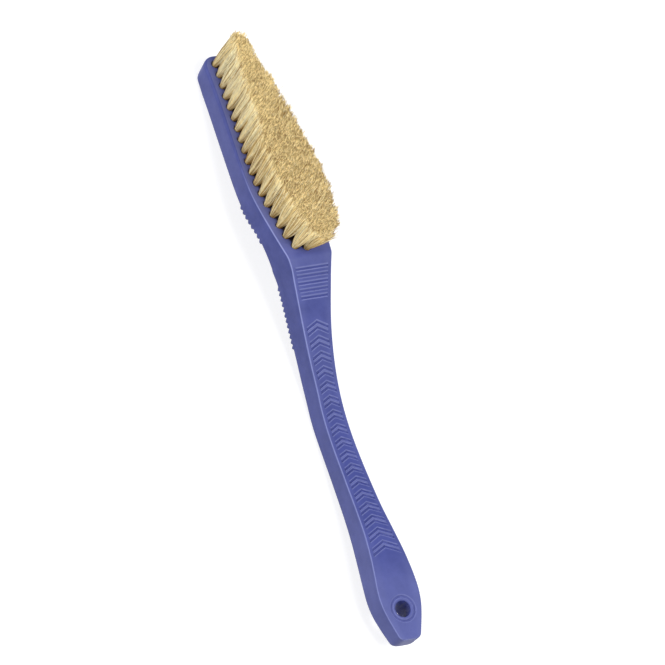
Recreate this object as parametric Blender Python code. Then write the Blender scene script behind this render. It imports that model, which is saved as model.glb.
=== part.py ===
"""Climbing hold brush: one moulded handle, and the bristle tufts that sit in its drilled head.

The brush lies on its back, as it lies on a table. +X runs from the head's tip to the butt, +Y
across, and +Z up, the way the bristles point. The origin is under the middle of the brush, on
the table. All lengths are metres.
"""
import math

import bmesh
import bpy
from mathutils import Matrix, Vector

# Head: the flat part that holds the bristles, from its tip to the crease at the neck
HEAD_LENGTH = 0.0853
HEAD_HALF_WIDTH = 0.0118
HEAD_SLOPE = math.radians(13.1)
HEAD_TIP_RADIUS = 0.0042
HEAD_HEEL_RADIUS = 0.0028

# Handle: from the crease to the butt, with its heights over the table
HANDLE_LENGTH = 0.1389
HANDLE_HALF_WIDTH = 0.0081
CREASE_HEIGHT = 0.0275
BUTT_CORNER_RADIUS = 0.0016
BUTT_HEEL_RADIUS = 0.0022
FRONT_EDGE_RADIUS = 0.0007
BACK_EDGE_RADIUS = 0.0016
HEAD_LEAN = 0.0024
NECK_LEAN_RUN = 0.0140

# Flat stretches: the head's back, and the front round the hanging hole
HEAD_FLAT_FROM_TIP = 0.0131
HEAD_FLAT_END = -0.0285
HANG_FLAT_LENGTH = 0.0224

# Finger ribs across the back, in two groups, before and behind the neck
RIB_HEIGHT = 0.0011
HEAD_RIBS_START = -0.0253
HEAD_RIB_PITCH = 0.00205
HEAD_RIB_COUNT = 8
HANDLE_RIBS_START = 0.0061
HANDLE_RIB_PITCH = 0.00179
HANDLE_RIB_COUNT = 12

# Hanging hole near the butt, and the ring groove round it
HANG_HOLE_RADIUS = 0.00295
HANG_HOLE_FROM_BUTT = 0.0110
RING_RADIUS = 0.0044

# Grooves pressed into the front of the handle
GROOVE_WIDTH = 0.0006
GROOVE_DEPTH = 0.0004
GROOVE_MARGIN = 0.0015
CHEVRON_START = 0.0215
LAST_CHEVRON_FROM_BUTT = 0.0358
CHEVRON_GAP = 0.0018
CHEVRON_COUNT = 17
THUMB_GROOVE_START = 0.0042
THUMB_GROOVE_PITCH = 0.0023
THUMB_GROOVE_COUNT = 5

# Tufts: holes bored square to the head's face, and the bristles folded into them
TUFTS_IN_ROW = 18
FIRST_TUFT_FROM_TIP = 0.00355
LAST_TUFT_FROM_CREASE = 0.0044
HOLE_RADIUS = 0.0014
HOLE_DEPTH = 0.0060
HOLE_GAP = 0.0003
BRISTLE_HEIGHT = 0.0170
BRISTLE_UNEVEN = 0.00035
NECK_FLARE = 0.0048
NECK_FLARE_RUN = 0.0250

# Overrun by which a cutter passes the surface that it cuts
OVERRUN = 0.0010
# Steps of the loft along the plain stretches of the body
STATION_STEP = 0.0046

# Counts that set how fine the solid is
TUFT_SIDES = 8
HANG_HOLE_SIDES = 24
RING_SIDES = 24
END_STEPS = 6
RIB_STEPS = 4

# Shares along the body: -1 is the head's tip, 0 the crease and 1 the butt.
# Half width, in shares of the head's or the handle's half width.
HEAD_WIDTH_SHARES = (
    (-1.00, 0.63), (-0.85, 0.69), (-0.60, 0.86), (-0.42, 0.975), (-0.32, 1.00),
    (-0.24, 0.965), (-0.157, 0.90), (-0.075, 0.825), (0.00, 0.746))
HANDLE_WIDTH_SHARES = (
    (0.000, 1.086), (0.027, 0.988), (0.055, 0.926), (0.139, 0.753), (0.196, 0.663), (0.254, 0.598),
    (0.315, 0.553), (0.376, 0.556), (0.508, 0.577), (0.576, 0.605), (0.645, 0.646), (0.714, 0.733),
    (0.781, 0.854), (0.845, 0.969), (0.877, 1.000), (0.909, 0.957), (0.940, 0.832), (0.973, 0.651),
    (1.000, 0.494))
# Heights over the table, in shares of the crease's height
FRONT_HEIGHT_SHARES = (
    (0.000, 1.000), (0.027, 0.952), (0.055, 0.884), (0.139, 0.691), (0.196, 0.581), (0.254, 0.493),
    (0.315, 0.428), (0.376, 0.382), (0.441, 0.379), (0.508, 0.413), (0.576, 0.462), (0.645, 0.520),
    (0.714, 0.587), (0.781, 0.628), (0.845, 0.629), (0.909, 0.609), (1.000, 0.565))
BACK_HEIGHT_SHARES = (
    (-1.000, -0.033), (-0.915, 0.010), (-0.843, 0.036), (-0.343, 0.363), (-0.292, 0.401),
    (-0.214, 0.467), (-0.170, 0.514), (-0.093, 0.528), (-0.020, 0.500), (0.027, 0.438),
    (0.066, 0.388), (0.142, 0.256), (0.222, 0.140), (0.302, 0.046), (0.386, 0.000), (0.474, 0.029),
    (0.587, 0.091), (0.722, 0.167), (0.854, 0.222), (1.000, 0.255))
# Distance of the outer tufts from the middle, in shares of the head's half width
ROW_SHARES = (
    (-1.00, 0.255), (-0.958, 0.271), (-0.91, 0.288), (-0.857, 0.339), (-0.80, 0.398),
    (-0.70, 0.441), (-0.60, 0.520), (-0.50, 0.610), (-0.42, 0.660), (-0.35, 0.672),
    (-0.27, 0.640), (-0.21, 0.600), (-0.16, 0.550), (-0.104, 0.490), (-0.051, 0.356),
    (0.00, 0.240))
# How near the middle the mown ends come, in shares of the distance of their roots
TOP_CLOSE_SHARES = (
    (-1.00, 0.50), (-0.86, 0.50), (-0.78, 0.57), (-0.70, 0.66), (-0.60, 0.77),
    (-0.50, 0.81), (-0.42, 0.86), (-0.35, 0.91), (-0.27, 0.97), (-0.20, 1.00), (0.00, 1.00))
# Least width of the tuft rows that takes one lane and two lanes between them
ONE_LANE_SHARE = 0.356
TWO_LANE_SHARE = 0.593
# Spread of a tuft's mown end, in shares of the head's half width and of the pitch
TOP_WIDTH_SHARE = 0.106
TOP_PITCH_SHARE = 0.276
# Shares of a tuft's or bristle's own thickness: its fold, its tip and its side flare
FOLD_SHARE = 0.45
BRISTLE_TAPER_SHARE = 0.62
SIDE_FLARE_SHARE = 0.35

# Sizes that follow from those above
HEAD_RUN = HEAD_LENGTH * math.cos(HEAD_SLOPE)
HEAD_FLAT_START = HEAD_FLAT_FROM_TIP - HEAD_RUN
HANG_FLAT_START = HANDLE_LENGTH - HANG_FLAT_LENGTH
CHEVRON_ROW = HANDLE_LENGTH - CHEVRON_START - LAST_CHEVRON_FROM_BUTT
CHEVRON_PITCH = CHEVRON_ROW / (CHEVRON_COUNT - 1)
RIB_GROUPS = (
    (HEAD_RIBS_START, HEAD_RIB_PITCH, HEAD_RIB_COUNT),
    (HANDLE_RIBS_START, HANDLE_RIB_PITCH, HANDLE_RIB_COUNT))
TUFT_ROW = HEAD_LENGTH - FIRST_TUFT_FROM_TIP - LAST_TUFT_FROM_CREASE
TUFT_PITCH = TUFT_ROW / (TUFTS_IN_ROW - 1)
TOP_RADIUS = min(HEAD_HALF_WIDTH * TOP_WIDTH_SHARE, TUFT_PITCH * TOP_PITCH_SHARE)


def smooth_curve(points, place):
    """Value at a place on the smooth curve through (place, value) points."""
    last = len(points) - 1
    index = 0
    while index < last - 1 and place > points[index + 1][0]:
        index += 1
    slopes = []
    for end in (index, index + 1):
        before = points[max(end - 1, 0)]
        after = points[min(end + 1, last)]
        slopes.append((after[1] - before[1]) / (after[0] - before[0]))
    (start, low), (stop, high) = points[index], points[index + 1]
    span = stop - start
    t = min(max((place - start) / span, 0.0), 1.0)
    rise = t * t * (3 - 2 * t)
    return (low + (high - low) * rise + span * slopes[0] * t * (1 - t) ** 2
            - span * slopes[1] * t * t * (1 - t))


def held_straight(curve, x, start, stop):
    """Value of a curve that is a straight line from start to stop."""
    if not start < x < stop:
        return curve(x)
    share = (x - start) / (stop - start)
    return curve(start) * (1 - share) + curve(stop) * share


def place_share(x):
    """Share along the body of a place x, measured from the crease."""
    return x / HEAD_RUN if x < 0 else x / HANDLE_LENGTH


def ease(t):
    """Smooth step from 0 to 1."""
    t = min(max(t, 0.0), 1.0)
    return t * t * (3 - 2 * t)


def half_width(x):
    """Half of the body's width at x, without the rounding of its two ends."""
    if x < 0:
        return HEAD_HALF_WIDTH * smooth_curve(HEAD_WIDTH_SHARES, place_share(x))
    return HANDLE_HALF_WIDTH * smooth_curve(HANDLE_WIDTH_SHARES, place_share(x))


def front_curve(x):
    """Height of the front face: a flat slope on the head, a long curve on the handle."""
    if x < 0:
        return CREASE_HEIGHT + x * math.tan(HEAD_SLOPE)
    return CREASE_HEIGHT * smooth_curve(FRONT_HEIGHT_SHARES, place_share(x))


def front_height(x):
    """Height of the front face, flat round the hanging hole."""
    return held_straight(front_curve, x, HANG_FLAT_START, HANDLE_LENGTH)


def back_curve(x):
    """Height of the curved back before its ribs are added."""
    return CREASE_HEIGHT * smooth_curve(BACK_HEIGHT_SHARES, place_share(x))


def back_height(x):
    """Height of the back, flat under the head, before its ribs are added."""
    return held_straight(back_curve, x, HEAD_FLAT_START, HEAD_FLAT_END)


def rib_height(x):
    """How far the finger ribs stand out of the back at x."""
    for start, pitch, count in RIB_GROUPS:
        turn = (x - start) / pitch
        if -0.5 <= turn <= count - 0.5:
            return RIB_HEIGHT * (0.5 + 0.5 * math.cos(2 * math.pi * turn))
    return 0.0


def section_lean(x):
    """How far a section through the front at x leans towards the butt at the back."""
    return HEAD_LEAN * (1 - ease((x + NECK_LEAN_RUN) / (NECK_LEAN_RUN + NECK_LEAN_RUN / 2)))


def front_of(back_x):
    """Front place of the section whose back is at back_x."""
    x = back_x
    for _ in range(30):
        x = back_x - section_lean(x)
    return x


def corner_inset(distance, radius):
    """How far a rounded corner draws in at a distance from the end that it rounds."""
    if distance >= radius:
        return 0.0
    return radius - math.sqrt(max(radius ** 2 - (radius - distance) ** 2, 0.0))


def front_point(x, y, lift=0.0):
    """Point over the front face, lifted square to it."""
    step = FRONT_EDGE_RADIUS
    slope = math.atan2(front_height(x + step) - front_height(x - step), 2 * step)
    if x < 0:
        slope = HEAD_SLOPE
    return Vector((x - lift * math.sin(slope), y, front_height(x) + lift * math.cos(slope)))


def section_points(x):
    """Closed loop of the body's section whose front lies at x."""
    from_tip = (x + HEAD_RUN) / math.cos(HEAD_SLOPE)
    from_butt = HANDLE_LENGTH - x
    back_x = x + section_lean(x)
    front = Vector((x, 0, front_height(x)))
    back = Vector((back_x, 0, back_height(back_x) - rib_height(back_x)))
    down = (back - front).normalized()
    front = front + down * (corner_inset(from_tip, FRONT_EDGE_RADIUS)
                            + corner_inset(from_butt, FRONT_EDGE_RADIUS))
    back = back - down * (corner_inset(from_tip, HEAD_HEEL_RADIUS)
                          + corner_inset(from_butt, BUTT_HEEL_RADIUS))
    half = (half_width(x) - corner_inset(from_tip, HEAD_TIP_RADIUS)
            - corner_inset(from_butt, BUTT_CORNER_RADIUS))
    depth = (back - front).length
    loop = []
    corners = (
        (half, 0.0, FRONT_EDGE_RADIUS, 0, 2), (half, depth, BACK_EDGE_RADIUS, 90, 3),
        (-half, depth, BACK_EDGE_RADIUS, 180, 3), (-half, 0.0, FRONT_EDGE_RADIUS, 270, 2))
    for across, deep, radius, turn, steps in corners:
        centre_across = across - math.copysign(radius, across)
        centre_deep = deep + radius if deep == 0 else deep - radius
        for step in range(steps + 1):
            angle = math.radians(turn - 90 + 90 * step / steps)
            loop.append(front + down * (centre_deep + radius * math.sin(angle))
                        + Vector((0, centre_across + radius * math.cos(angle), 0)))
    return loop


def end_places(start, radius, sign):
    """Places of the sections that round one end of the body."""
    return [start + sign * radius * (1 - math.cos(math.radians(90 * step / END_STEPS)))
            for step in range(END_STEPS + 1)]


def rib_places(start, pitch, count):
    """Places of the sections that carry one group of ribs."""
    return [front_of(start + (step / RIB_STEPS - 0.5) * pitch)
            for step in range(count * RIB_STEPS + 1)]


def plain_places(start, stop, length):
    """Places between two others, none longer than length apart."""
    count = max(1, math.ceil((stop - start) / length))
    return [start + (stop - start) * step / count for step in range(1, count)]


def body_places():
    """Places of all the sections, from the tip to the butt."""
    head_tip = end_places(-HEAD_RUN, HEAD_TIP_RADIUS * math.cos(HEAD_SLOPE), 1)
    head_ribs, handle_ribs = (rib_places(*group) for group in RIB_GROUPS)
    butt = end_places(HANDLE_LENGTH, BUTT_HEEL_RADIUS, -1)[::-1]
    places = head_tip + plain_places(head_tip[-1], head_ribs[0], STATION_STEP) + head_ribs
    places += plain_places(head_ribs[-1], 0.0, HEAD_RIB_PITCH) + [0.0]
    places += plain_places(0.0, handle_ribs[0], HEAD_RIB_PITCH) + handle_ribs
    places += plain_places(handle_ribs[-1], butt[0], STATION_STEP) + butt
    return places


def mesh_object(name, verts, faces, parent=None, smooth_angle=None):
    """Object of the given mesh, optionally shaded smooth under an angle."""
    mesh = bpy.data.meshes.new(name)
    mesh.from_pydata(verts, [], faces)
    obj = bpy.data.objects.new(name, mesh)
    bpy.context.collection.objects.link(obj)
    obj.parent = parent
    shaped = bmesh.new()
    shaped.from_mesh(mesh)
    bmesh.ops.recalc_face_normals(shaped, faces=shaped.faces)
    shaped.to_mesh(mesh)
    shaped.free()
    if smooth_angle is not None:
        mesh.shade_smooth()
        mesh.set_sharp_from_angle(angle=smooth_angle)
    return obj


def lofted(loops):
    """Vertices and faces of a body lofted through loops, closed at both ends."""
    sides = len(loops[0])
    verts = [tuple(point) for loop in loops for point in loop]
    faces = [list(range(sides)), list(range(len(verts) - sides, len(verts)))]
    for ring in range(len(loops) - 1):
        for side in range(sides):
            near = ring * sides
            after = (side + 1) % sides
            faces.append([near + side, near + after, near + sides + after, near + sides + side])
    return verts, faces


def cut(obj, cutter):
    """Cut one object with another, which is kept as a wire guide."""
    cutter.hide_render = True
    cutter.display_type = "WIRE"
    boolean = obj.modifiers.new("cut_" + cutter.name, "BOOLEAN")
    boolean.operation = "DIFFERENCE"
    boolean.solver = "EXACT"
    boolean.object = cutter


def joined(solids):
    """Vertices and faces of several solids in one list."""
    verts, faces = [], []
    for more_verts, more_faces in solids:
        base = len(verts)
        verts.extend(more_verts)
        faces.extend([[base + index for index in face] for face in more_faces])
    return verts, faces


def groove_solid(path, closed=False):
    """Solid that cuts a groove along (x, y) points on the front face."""
    loops = []
    count = len(path)
    for index, (x, y) in enumerate(path):
        before = path[index - 1] if closed or index else path[index]
        after = path[(index + 1) % count] if closed or index < count - 1 else path[index]
        along = Vector((after[0] - before[0], after[1] - before[1])).normalized()
        side = Vector((-along.y, along.x)) * (GROOVE_WIDTH / 2)
        near, far = (x - side.x, y - side.y), (x + side.x, y + side.y)
        loops.append([front_point(*near, -GROOVE_DEPTH), front_point(*far, -GROOVE_DEPTH),
                      front_point(*far, OVERRUN), front_point(*near, OVERRUN)])
    verts, faces = lofted(loops)
    if closed:
        last = 4 * (count - 1)
        faces = faces[2:] + [[side, (side + 1) % 4, last + (side + 1) % 4, last + side]
                             for side in range(4)]
    return verts, faces


def ring_path(centre_x, radius):
    """Points of a ring on the front face."""
    turns = [2 * math.pi * side / RING_SIDES for side in range(RING_SIDES)]
    return [(centre_x + radius * math.cos(turn), radius * math.sin(turn)) for turn in turns]


def groove_reach(x):
    """How far a groove across the front goes to each side of the middle."""
    return half_width(x) - GROOVE_MARGIN


def chevron_path(x):
    """Groove of two arms that point at the head."""
    reach = groove_reach(x)
    return [(x + reach / 2, -reach), (x, 0.0), (x + reach / 2, reach)]


def front_grooves():
    """All the grooves of the handle's front in one cutter."""
    solids = [groove_solid(ring_path(hang_hole_x(), RING_RADIUS), closed=True)]
    for index in range(CHEVRON_COUNT):
        for shift in (0.0, CHEVRON_GAP):
            x = CHEVRON_START + index * CHEVRON_PITCH + shift
            solids.append(groove_solid(chevron_path(x)))
    for index in range(THUMB_GROOVE_COUNT):
        x = THUMB_GROOVE_START + index * THUMB_GROOVE_PITCH
        reach = groove_reach(x)
        solids.append(groove_solid([(x, -reach), (x, reach)]))
    return mesh_object("front_groove_cutter", *joined(solids))


def hang_hole_x():
    """Place of the hanging hole."""
    return HANDLE_LENGTH - HANG_HOLE_FROM_BUTT


def hang_hole_cutter():
    """Round rod through the handle, from over its front to under its back."""
    x = hang_hole_x()
    loops = []
    for height in (front_height(x) + OVERRUN, back_height(x) - OVERRUN):
        loops.append([(x + HANG_HOLE_RADIUS * math.cos(2 * math.pi * side / HANG_HOLE_SIDES),
                       HANG_HOLE_RADIUS * math.sin(2 * math.pi * side / HANG_HOLE_SIDES), height)
                      for side in range(HANG_HOLE_SIDES)])
    return mesh_object("hang_hole_cutter", *lofted(loops))


def row_half_width(along):
    """Distance of an outer row's holes from the middle, at a distance from the crease."""
    return HEAD_HALF_WIDTH * smooth_curve(ROW_SHARES, -along / HEAD_LENGTH)


def tuft_places():
    """Names and places of the tufts, as (distance from the crease, y) on the head's face."""
    first = HEAD_LENGTH - FIRST_TUFT_FROM_TIP
    places = []
    for row, side in (("left", -1), ("right", 1)):
        for index in range(TUFTS_IN_ROW):
            along = first - index * TUFT_PITCH
            places.append((f"tuft_{row}_{index + 1:02d}", along, side * row_half_width(along)))
    count = 0
    for index in range(TUFTS_IN_ROW):
        along = first - (index + 1 / 2) * TUFT_PITCH
        if index == TUFTS_IN_ROW - 1:
            along = first - (index + 1 / 4) * TUFT_PITCH
        across = row_half_width(along)
        lanes = [0.0]
        if across < HEAD_HALF_WIDTH * ONE_LANE_SHARE and index < TUFTS_IN_ROW / 2:
            lanes = []
        if across >= HEAD_HALF_WIDTH * TWO_LANE_SHARE:
            lanes = [-across / 3, across / 3]
        for lane in lanes:
            count += 1
            places.append((f"tuft_inner_{count:02d}", along, lane))
    return places


def ring(radius, height, squeeze=1.0):
    """Ring of points round a tuft's axis; squeeze flattens it across the fold."""
    points = []
    for side in range(TUFT_SIDES):
        angle = 2 * math.pi * (side + 0.5) / TUFT_SIDES
        points.append((radius * math.cos(angle) * squeeze, radius * math.sin(angle), height))
    return points


def hole_solid(along, across):
    """Blind hole for one tuft, square to the head's face."""
    verts, faces = lofted([ring(HOLE_RADIUS, -HOLE_DEPTH), ring(HOLE_RADIUS, OVERRUN)])
    frame = tuft_frame(along, across)
    return [tuple(frame @ Vector(vert)) for vert in verts], faces


def tuft_frame(along, across):
    """Frame at a tuft's mouth, with its Z square to the head's face."""
    x = -along * math.cos(HEAD_SLOPE)
    place = Matrix.Translation((x, across, front_height(x)))
    return place @ Matrix.Rotation(-HEAD_SLOPE, 4, "Y")


def hole_cutter():
    """All the tuft holes in one cutter."""
    solids = [hole_solid(along, across) for _, along, across in tuft_places()]
    return mesh_object("tuft_hole_cutter", *joined(solids))


def top_lean(along, across):
    """How far a tuft's mown end lies from over its root, along the head and across it."""
    side = across / row_half_width(along)
    flare = NECK_FLARE * max(0.0, 1 - along / NECK_FLARE_RUN) ** 2
    close = smooth_curve(TOP_CLOSE_SHARES, -along / HEAD_LENGTH)
    return flare * (1 - SIDE_FLARE_SHARE * side ** 2), across * (close - 1)


def tuft_mesh(along, across):
    """Folded root with one tapered three-sided strand over each side of its mouth."""
    lean_along, lean_across = top_lean(along, across)
    root_radius = HOLE_RADIUS - HOLE_GAP
    root_depth = HOLE_DEPTH - HOLE_GAP
    fold = root_radius - root_depth
    verts = ring(root_radius, -root_depth, FOLD_SHARE) + ring(root_radius, fold)
    verts += ring(root_radius, 0.0) + [(0.0, 0.0, 0.0)]
    centre = 3 * TUFT_SIDES
    faces = [list(range(TUFT_SIDES))]
    for level in (0, TUFT_SIDES):
        for side in range(TUFT_SIDES):
            after = (side + 1) % TUFT_SIDES
            faces.append([level + side, level + after,
                          level + TUFT_SIDES + after, level + TUFT_SIDES + side])
    for side in range(TUFT_SIDES):
        base = [centre, 2 * TUFT_SIDES + side, 2 * TUFT_SIDES + (side + 1) % TUFT_SIDES]
        middle = sum((Vector(verts[index]) for index in base), Vector()) / 3
        out = middle.normalized()
        uneven = math.sin(5 * along / TUFT_PITCH + 4 * out.x) * BRISTLE_UNEVEN
        tip_middle = Vector((out.x * TOP_RADIUS + lean_along, out.y * TOP_RADIUS + lean_across,
                             BRISTLE_HEIGHT + uneven))
        top = len(verts)
        for index in base:
            verts.append(tuple(tip_middle + (Vector(verts[index]) - middle) * BRISTLE_TAPER_SHARE))
        for corner in range(3):
            after = (corner + 1) % 3
            faces.append([base[corner], base[after], top + after, top + corner])
        faces.append([top, top + 1, top + 2])
    return verts, faces


def plastic_material():
    """Violet blue moulded plastic of the handle."""
    material = bpy.data.materials.new("moulded_violet_plastic")
    material.use_nodes = True
    shader = material.node_tree.nodes["Principled BSDF"]
    shader.inputs["Base Color"].default_value = (0.105, 0.113, 0.352, 1.0)
    shader.inputs["Roughness"].default_value = 0.45
    shader.inputs["Metallic"].default_value = 0.0
    material.diffuse_color = (0.105, 0.113, 0.352, 1.0)
    return material


def bristle_material():
    """Pale natural boar bristle."""
    material = bpy.data.materials.new("boar_bristle")
    material.use_nodes = True
    shader = material.node_tree.nodes["Principled BSDF"]
    shader.inputs["Base Color"].default_value = (0.680, 0.520, 0.270, 1.0)
    shader.inputs["Roughness"].default_value = 0.6
    shader.inputs["Metallic"].default_value = 0.0
    material.diffuse_color = (0.680, 0.520, 0.270, 1.0)
    return material


def make_handle(parent):
    """Moulded handle with its head, ribs, grooves, tuft holes and hanging hole."""
    loops = [section_points(x) for x in body_places()]
    handle = mesh_object("handle", *lofted(loops), parent, smooth_angle=math.radians(35))
    for cutter in (hole_cutter(), hang_hole_cutter(), front_grooves()):
        cutter.parent = parent
        cut(handle, cutter)
    handle.data.materials.append(plastic_material())
    return handle


def make_tufts(parent):
    """One object for each tuft, placed at the mouth of its hole."""
    material = bristle_material()
    tufts = []
    for name, along, across in tuft_places():
        tuft = mesh_object(name, *tuft_mesh(along, across), parent)
        tuft.matrix_local = tuft_frame(along, across)
        tuft.data.materials.append(material)
        tufts.append(tuft)
    return tufts


def centre_on_table(parent, pieces):
    """Move the brush so that the origin is under its middle, on the table."""
    bpy.context.view_layer.update()
    corners = [piece.matrix_world @ Vector(vert.co) for piece in pieces for vert in piece.data.vertices]
    lows = [min(corner[axis] for corner in corners) for axis in range(3)]
    highs = [max(corner[axis] for corner in corners) for axis in range(3)]
    parent.location = (-(lows[0] + highs[0]) / 2, 0.0, -lows[2])


def main():
    """Build the brush in an empty scene."""
    for obj in list(bpy.data.objects):
        bpy.data.objects.remove(obj, do_unlink=True)
    brush = bpy.data.objects.new("brush", None)
    bpy.context.collection.objects.link(brush)
    handle = make_handle(brush)
    tufts = make_tufts(brush)
    centre_on_table(brush, [handle] + tufts)


if __name__ == "__main__":
    main()
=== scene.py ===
"""Climbing hold brush, dressed around its CAD frame.

The moulded handle is built again with soft edges and pressed grooves, and each tuft gets its
fine hairs. The brush lies on a pale floor under a plain studio light.
"""
import math

import bpy
import numpy as np
from bpy.props import FloatProperty, FloatVectorProperty, IntProperty, PointerProperty
from mathutils import Matrix, Vector


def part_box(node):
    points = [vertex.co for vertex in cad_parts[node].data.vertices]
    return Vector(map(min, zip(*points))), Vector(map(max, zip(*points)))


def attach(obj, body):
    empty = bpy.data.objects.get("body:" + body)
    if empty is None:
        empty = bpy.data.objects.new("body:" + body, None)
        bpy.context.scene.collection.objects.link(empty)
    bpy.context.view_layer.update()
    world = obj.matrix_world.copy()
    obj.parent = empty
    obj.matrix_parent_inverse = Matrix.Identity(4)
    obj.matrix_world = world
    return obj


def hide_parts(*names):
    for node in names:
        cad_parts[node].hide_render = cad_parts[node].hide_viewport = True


bl_info = {
    "name": "Climbing hold brush",
    "version": (1, 0, 0),
    "blender": (4, 5, 0),
    "location": "View3D > Sidebar > Brush",
    "description": "Builds a moulded hand brush with natural bristle tufts",
    "category": "Object",
}

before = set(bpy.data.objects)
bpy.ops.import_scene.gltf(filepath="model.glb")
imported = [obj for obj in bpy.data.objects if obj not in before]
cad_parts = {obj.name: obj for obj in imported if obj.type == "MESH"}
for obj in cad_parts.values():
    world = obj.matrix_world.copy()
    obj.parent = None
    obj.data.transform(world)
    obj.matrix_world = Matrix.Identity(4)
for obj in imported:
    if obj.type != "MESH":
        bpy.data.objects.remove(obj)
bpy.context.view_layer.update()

# Driving sizes in metres, the same as in the part's source
HEAD_LENGTH = 0.0853
HEAD_HALF_WIDTH = 0.0118
HEAD_SLOPE = math.radians(13.1)
HEAD_TIP_RADIUS = 0.0042
HEAD_HEEL_RADIUS = 0.0028
HANDLE_LENGTH = 0.1389
HANDLE_HALF_WIDTH = 0.0081
CREASE_HEIGHT = 0.0275
BUTT_CORNER_RADIUS = 0.0016
BUTT_HEEL_RADIUS = 0.0022
HEAD_LEAN = 0.0024
NECK_LEAN_RUN = 0.0140
HEAD_FLAT_FROM_TIP = 0.0131
HEAD_FLAT_END = -0.0285
HANG_FLAT_LENGTH = 0.0224
RIB_HEIGHT = 0.0011
HEAD_RIBS_START = -0.0253
HEAD_RIB_PITCH = 0.00205
HEAD_RIB_COUNT = 8
HANDLE_RIBS_START = 0.0061
HANDLE_RIB_PITCH = 0.00179
HANDLE_RIB_COUNT = 12
HANG_HOLE_RADIUS = 0.00295
HANG_HOLE_FROM_BUTT = 0.0110
RING_RADIUS = 0.0044
GROOVE_MARGIN = 0.0015
CHEVRON_START = 0.0215
LAST_CHEVRON_FROM_BUTT = 0.0358
CHEVRON_GAP = 0.0018
CHEVRON_COUNT = 17
CHEVRON_SLANT = 0.5
THUMB_GROOVE_START = 0.0042
THUMB_GROOVE_PITCH = 0.0023
THUMB_GROOVE_COUNT = 5
TUFTS_IN_ROW = 18
FIRST_TUFT_FROM_TIP = 0.00355
LAST_TUFT_FROM_CREASE = 0.0044
TUFT_HOLE_RADIUS = 0.0014
BRISTLE_HEIGHT = 0.0170
NECK_FLARE = 0.0048
NECK_FLARE_RUN = 0.0250

# Rounding and chamfers that only the scene has
CREASE_ROUNDING = 0.0009
HEAD_SOFTNESS = 0.0005
HOLE_CHAMFER = 0.0003
HOLE_SIDES = 72
# Number of lines of points round each rounded end
END_LINES = 12
SHARP_ANGLE = math.radians(50)

# Painted highlight and light: shares of the handle's length from the crease, and their strength
# there
LIP_HIGHLIGHT = 0.65
BESIDE_EDGE_LIGHT = 0.07
BESIDE_EDGE_START = 0.5
BESIDE_EDGE_RUN = 0.4
EDGE_HIGHLIGHT_SHARES = (
    (-0.60, 0.0), (-0.30, 0.05), (-0.20, 0.6), (-0.08, 1.0), (0.12, 1.0), (0.30, 0.8),
    (1.00, 0.7))
SIDE_LIGHT_SHARES = (
    (-0.60, 0.06), (-0.30, 0.03), (-0.17, 0.0), (0.12, 0.0), (0.30, 0.03), (0.55, 0.06),
    (0.75, 0.07), (0.98, 0.15))
FRONT_LIGHT_SHARES = (
    (-0.60, 0.20), (-0.45, 0.26), (-0.12, 0.28), (0.00, 0.10), (0.12, 0.01), (0.25, 0.02),
    (0.40, 0.02), (0.55, 0.0), (0.75, 0.0), (0.86, 0.14), (0.98, 0.18))

# Shares along the body, where -1 is the head's tip, 0 the crease and 1 the butt
HEAD_WIDTH_SHARES = (
    (-1.00, 0.63), (-0.85, 0.69), (-0.60, 0.86), (-0.42, 0.975), (-0.32, 1.00),
    (-0.24, 0.965), (-0.157, 0.90), (-0.075, 0.825), (0.00, 0.746))
HANDLE_WIDTH_SHARES = (
    (0.000, 1.086), (0.027, 0.988), (0.055, 0.926), (0.139, 0.753), (0.196, 0.663),
    (0.254, 0.598), (0.315, 0.553), (0.376, 0.556), (0.508, 0.577), (0.576, 0.605),
    (0.645, 0.646), (0.714, 0.733), (0.781, 0.854), (0.845, 0.969), (0.877, 1.000),
    (0.909, 0.957), (0.940, 0.832), (0.973, 0.651), (1.000, 0.494))
FRONT_HEIGHT_SHARES = (
    (0.000, 1.000), (0.027, 0.952), (0.055, 0.884), (0.139, 0.691), (0.196, 0.581),
    (0.254, 0.493), (0.315, 0.428), (0.376, 0.382), (0.441, 0.379), (0.508, 0.413),
    (0.576, 0.462), (0.645, 0.520), (0.714, 0.587), (0.781, 0.628), (0.845, 0.629),
    (0.909, 0.609), (1.000, 0.565))
BACK_HEIGHT_SHARES = (
    (-1.000, -0.033), (-0.915, 0.010), (-0.843, 0.036), (-0.343, 0.363), (-0.292, 0.401),
    (-0.214, 0.467), (-0.170, 0.514), (-0.093, 0.528), (-0.020, 0.500), (0.027, 0.438),
    (0.066, 0.388), (0.142, 0.256), (0.222, 0.140), (0.302, 0.046), (0.386, 0.000),
    (0.474, 0.029), (0.587, 0.091), (0.722, 0.167), (0.854, 0.222), (1.000, 0.255))
ROW_SHARES = (
    (-1.00, 0.255), (-0.958, 0.271), (-0.91, 0.288), (-0.857, 0.339), (-0.80, 0.398),
    (-0.70, 0.441), (-0.60, 0.520), (-0.50, 0.610), (-0.42, 0.660), (-0.35, 0.672),
    (-0.27, 0.640), (-0.21, 0.600), (-0.16, 0.550), (-0.104, 0.490), (-0.051, 0.356),
    (0.00, 0.240))
TOP_CLOSE_SHARES = (
    (-1.00, 0.05), (-0.95, 0.30), (-0.91, 0.44), (-0.86, 0.50), (-0.78, 0.57), (-0.70, 0.66),
    (-0.60, 0.77), (-0.50, 0.81), (-0.42, 0.86), (-0.35, 0.91), (-0.27, 0.97), (-0.20, 1.00),
    (0.00, 1.00))
# Half widths of the rows, as shares of the head's, that leave room for one lane and for two
ONE_LANE_SHARE = 0.356
TWO_LANE_SHARE = 0.593

# Number of hairs: more in the inner lanes and towards the neck, in bunches
HAIR_SEED = 11
LANE_CROWD = 1.2
NECK_CROWD = 0.35
NECK_CROWD_FALL = 1.4
BUNCHES = 100
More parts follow.
